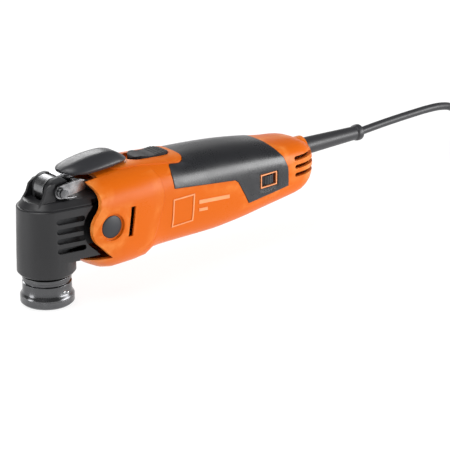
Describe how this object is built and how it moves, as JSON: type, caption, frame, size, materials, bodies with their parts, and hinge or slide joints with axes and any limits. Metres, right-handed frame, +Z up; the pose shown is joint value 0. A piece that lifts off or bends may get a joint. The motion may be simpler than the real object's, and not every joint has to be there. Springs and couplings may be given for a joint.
{
  "type": "oscillating multi tool",
  "caption": "Corded oscillating multi tool with a slim body, soft grip, slide switch, speed dial, quick-release clamping lever and a round toothed tool seat under the gear head.",
  "frame": {"origin": "on the spindle axis, at the bottom face of the tool holder that the tool stands on", "axes": "+Z up along the spindle axis, +X back along the motor axis towards the cord, +Y to the tool's right-hand side"},
  "size_m": [0.613, 0.0752, 0.1061],
  "materials": {
    "orange_shell": "satin",
    "soft_grip": "satin",
    "dark_plastic": "satin",
    "black_plastic": "matte",
    "grey_cap": "matte",
    "print": "satin",
    "cast_alloy": "cast",
    "dark_steel": "blackened",
    "steel": "satin",
    "bright_steel": "polished",
    "copper": "enamelled",
    "carbon": "matte",
    "board_green": "satin",
    "cord_rubber": "matte"
  },
  "bodies": {
    "body": {"gear_case": "cast_alloy", "head_cover": "black_plastic", "dust_seal": "cord_rubber", "lower_bearing": "bright_steel", "upper_bearing": "bright_steel", "lever_spring": "steel", "front_bearing": "bright_steel", "rear_bearing": "bright_steel", "stator_core": "dark_steel", "field_coils": "copper", "rear_bearing_plate": "black_plastic", "brush_holders": "copper", "carbon_brushes": "carbon", "brush_springs": "bright_steel", "housing_left": "orange_shell", "housing_right": "orange_shell", "grip": "soft_grip", "power_switch": "black_plastic", "dial_potentiometer": "black_plastic", "dial_frame": "print", "control_board": "board_green", "board_parts": "black_plastic", "cable_clamp": "black_plastic", "clamp_screws": "steel", "inner_lead": "cord_rubber", "strain_relief": "cord_rubber", "housing_screws": "dark_steel", "damping_mounts": "cord_rubber", "mount_caps": "grey_cap", "badge_plate": "print", "label_bars": "print", "cord": "cord_rubber", "cord_hank": "cord_rubber", "cord_tie": "dark_plastic", "plug_body": "black_plastic", "plug_pins": "bright_steel"},
    "spindle": {"seat_ring": "dark_steel", "tool_holder": "dark_steel", "index_pins": "bright_steel", "spindle": "steel", "spindle_circlip": "dark_steel", "oscillating_fork": "steel", "clamp_springs": "dark_steel"},
    "clamp_rod": {"clamp_rod": "steel", "jaw_pins": "bright_steel"},
    "left_jaw": {"left_jaw": "steel"},
    "right_jaw": {"right_jaw": "steel"},
    "lever": {"clamp_lever": "dark_plastic", "lever_yoke": "steel", "lever_cam": "steel", "lever_pin": "dark_steel"},
    "rotor": {"motor_shaft": "steel", "eccentric_bearing": "bright_steel", "fan": "black_plastic", "rotor_core": "dark_steel", "rotor_windings": "copper", "commutator": "copper"},
    "switch": {"switch_cap": "dark_plastic", "switch_link": "black_plastic"},
    "speed_dial": {"speed_dial": "dark_plastic"}
  },
  "joints": [
    {"name": "spindle_swing", "type": "hinge", "parent": "body", "child": "spindle", "pos_m": [0, 0, 0.03], "axis": [0, 0, 1], "range_deg": [-1.7, 1.7]},
    {"name": "lever_hinge", "type": "hinge", "parent": "body", "child": "lever", "pos_m": [0.0055, 0, 0.087], "axis": [0, -1, 0], "range_deg": [0, 95]},
    {"name": "rod_slide", "type": "slide", "parent": "spindle", "child": "clamp_rod", "axis": [0, 0, -1], "range_m": [0, 0.0015], "deforming": ["clamp_springs"]},
    {"name": "left_jaw_hinge", "type": "hinge", "parent": "clamp_rod", "child": "left_jaw", "pos_m": [0, -0.003, 0.02], "axis": [1, 0, 0], "range_deg": [0, 6]},
    {"name": "right_jaw_hinge", "type": "hinge", "parent": "clamp_rod", "child": "right_jaw", "pos_m": [0, 0.003, 0.02], "axis": [-1, 0, 0], "range_deg": [0, 6]},
    {"name": "rotor_spin", "type": "hinge", "parent": "body", "child": "rotor", "pos_m": [0.1, 0, 0.061], "axis": [1, 0, 0], "continuous": true},
    {"name": "switch_slide", "type": "slide", "parent": "body", "child": "switch", "axis": [-1, 0, 0], "range_m": [0, 0.005]},
    {"name": "dial_turn", "type": "hinge", "parent": "body", "child": "speed_dial", "pos_m": [0.1875, -0.0194, 0.0605], "axis": [0, 0, 1], "range_deg": [-140, 140]}
  ],
  "couplings": [
    {"joint": "lever_hinge", "follows": "rod_slide", "rad_per_m": 1105.3},
    {"joint": "left_jaw_hinge", "follows": "rod_slide", "rad_per_m": 69.6},
    {"joint": "right_jaw_hinge", "follows": "rod_slide", "rad_per_m": 69.6}
  ]
}
